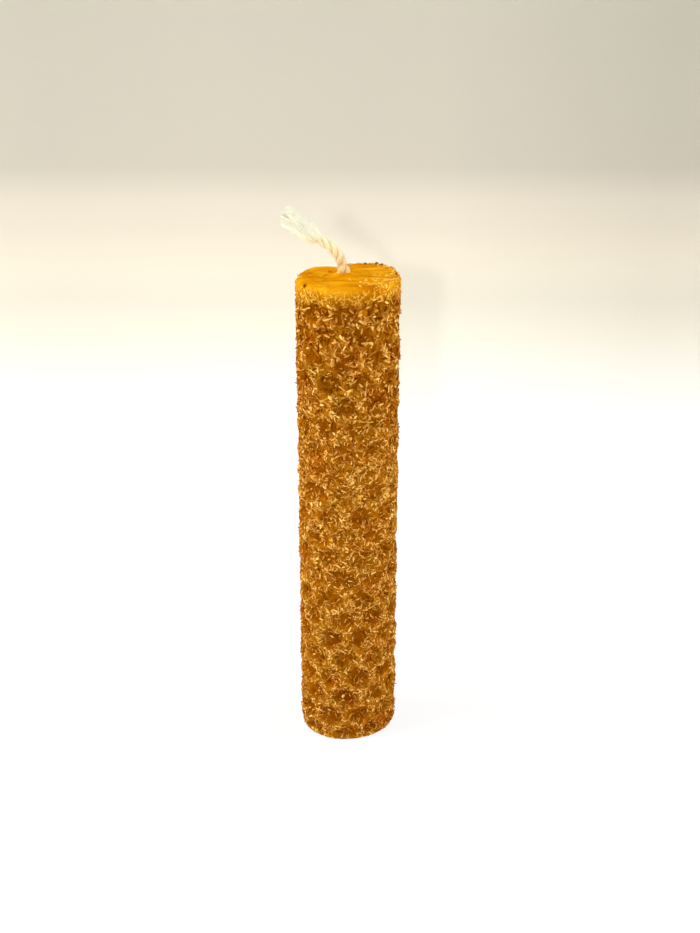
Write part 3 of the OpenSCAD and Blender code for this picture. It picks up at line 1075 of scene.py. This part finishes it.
# %% Sides
TRIES = 3
RAY_START = 4.0
MOST_LIFT, MORE_IN_CELLS = 0.16, 0.18
OFF_FLOOR = 0.02
TONE_SPREAD = 0.20
gathered = {}
for name, kind in KINDS.items():
    run = coat_draw.uniform(0.05, OUTER_RUN - 0.05, kind.count * TRIES)
    z = coat_draw.uniform(0.2, 99.4, kind.count * TRIES)
    chance, hollow = side_share(run, z, kind.in_cells, kind.near_top)
    stuck = np.flatnonzero(coat_draw.random(kind.count * TRIES) < chance)[: kind.count]
    run, z, hollow = run[stuck], z[stuck], hollow[stuck]
    far_x, far_y, angle = roll_up(run, np.full(len(run), RAY_START))
    inwards = np.stack([-np.cos(angle), -np.sin(angle), np.zeros(len(run))], axis=1)
    kept, places, normals = meet_wax(np.stack([far_x, far_y, z], axis=1) * MM, inwards)
    hollow, count = hollow[kept], len(places)
    sizes = draw_sizes(kind, count)
    height = places[:, 2] / MM
    grow = 0.85 + 0.35 * smooth((height - 60) / 28) - 0.35 * smooth((height - 96.5) / 2)
    sizes[:, :2] *= grow[:, None]
    lift = coat_draw.uniform(0.0, MOST_LIFT, count) + MORE_IN_CELLS * hollow * coat_draw.random(count)
    points = lay_down(kind.shape, places, normals, sizes, kind.tilt, lift)
    clear = points[:, :, 2].min(axis=1) > OFF_FLOOR * MM
    # Herbs in the cells are drawn darker, partly for wax over them and partly as painted shade in the
    # hollows; those high on the side are drawn darker as painted shade.
    tone_with_painted_shade = kind.tone - 0.03 - 0.14 * hollow - 0.08 * smooth((height - 60) / 20)
    # Painted light: within 3 mm of the rim no herb is drawn darker than a light gold, so that bits seen
    # edge-on there do not read dark in their own shade.
    lowest_tone_painted_light = 0.70 * smooth((height - 95) / 3)
    tones = np.clip(coat_draw.normal(tone_with_painted_shade, TONE_SPREAD), lowest_tone_painted_light, 1)
    gathered[name] = [(points[clear], tones[clear])]
    print(name, int(clear.sum()))


# %% Top and rim
DROP_FROM = 130.0
TOP_MIDDLE_X = 0.7


def scatter_on_top(name, x, y, middle, spread=0.15, grow=1.0, raised=0.0):
    """Lets herbs of one kind fall straight down on the top at the given places, in mm."""
    kind = KINDS[name]
    above = np.stack([x, y, np.full(len(x), DROP_FROM)], axis=1) * MM
    _, places, normals = meet_wax(above, np.tile((0, 0, -1.0), (len(x), 1)))
    sizes = draw_sizes(kind, len(places)) * grow
    lift = raised + coat_draw.uniform(0.0, 0.12, len(places))
    points = lay_down(kind.shape, places, normals, sizes, kind.tilt, lift)
    tones = np.clip(coat_draw.normal(middle, spread, len(places)), 0, 1)
    gathered[name].append((points, tones))


def ring_places(count, radii, angles):
    r, a = coat_draw.uniform(*radii, count), np.radians(coat_draw.uniform(*angles, count))
    return TOP_MIDDLE_X + r * np.cos(a), r * np.sin(a)


# Painted light: herbs on the top and rim get paler tones than those on the side, so that their shaded
# edges do not read dark.
for name, on_rim, on_right, anywhere in (
    ("herb_splinters", 34, 10, 4),
    ("herb_flakes", 26, 14, 4),
    ("herb_husks", 6, 3, 1),
    ("herb_crumbs", 40, 14, 8),
):
    scatter_on_top(name, *ring_places(on_rim, (9.5, 10.3), (-60, 190)), 0.7)
    scatter_on_top(name, *ring_places(on_rim, (8.6, 10.2), (-60, 60)), 0.74)
    scatter_on_top(name, *ring_places(on_right, (5.0, 9.6), (-75, 10)), 0.76, grow=1.15)
    scatter_on_top(name, *ring_places(anywhere, (2.5, 9.5), (0, 360)), 0.7)

DARK_BITS = np.array([(-2.9, 9.0), (4.4, 8.9), (6.6, 7.8), (7.6, 7.0), (10.1, 0.6), (-7.6, -6.2)])
scatter_on_top("herb_crumbs", *DARK_BITS.T, 0.08, spread=0.04, grow=2.1, raised=0.25)
print("dark bits on the rim:", len(DARK_BITS))

# %% Making the coats
coats = []
for name, parts in gathered.items():
    points = np.concatenate([p for p, _ in parts])
    tones = np.concatenate([t for _, t in parts])
    coats.append(build_coat(name, KINDS[name], points, tones))
    print(name, "triangles:", triangles(coats[-1]))

# %% [markdown]
# ## Finish of the herbs
#
# Every copy carries one number, its tone, which picks its colour from dark brown through gold to pale
# straw. The tone is lowered in the cells, partly for wax over the herbs and partly as painted shade in
# the hollows, and lowered high on the side as painted shade. It is kept pale near the rim and on the
# top, as painted light. The patches of olive and red run on from the wax under them. Near the top more
# wax has soaked in, which leaves the straw golden.

# %% Herb finish
herb_look, tree, shader = new_finish("dried_herb")
grain = add_grain(tree, 1800, 0.6)
speckle = add_math(tree, "MULTIPLY", grain.outputs["Tone"], 0.18)
tone = add_math(tree, "ADD", add_mask(tree, "tone"), speckle)
HERB_TONES = [
    (0.10, screen(101, 44, 0)),
    (0.34, screen(137, 75, 3)),
    (0.56, screen(181, 119, 33)),
    (0.78, screen(225, 168, 80)),
    (1.0, screen(250, 208, 114)),
]
herb_colour = add_patches(tree, add_ramp(tree, tone, HERB_TONES))
at_top = add_range(tree, add_axes(tree)["Z"], (CANDLE_H - 6) * MM, (CANDLE_H - 2) * MM)
gilded = add_mix(tree, at_top, herb_colour, (1.0, 0.94, 0.45, 1), "MULTIPLY")
tree.links.new(gilded, shader.inputs["Base Color"])
shader.inputs["Roughness"].default_value = 0.5
shader.inputs["Specular IOR Level"].default_value = 0.0
add_bump(tree, shader, grain.outputs["Fine"], 0.05)
for coat in coats:
    coat.data.materials.append(herb_look)
    stand_for(coat, "herb_chips")
print("herb pieces:", len(coats))

# %% [markdown]
# ## Finish
#


print("the candle is built")
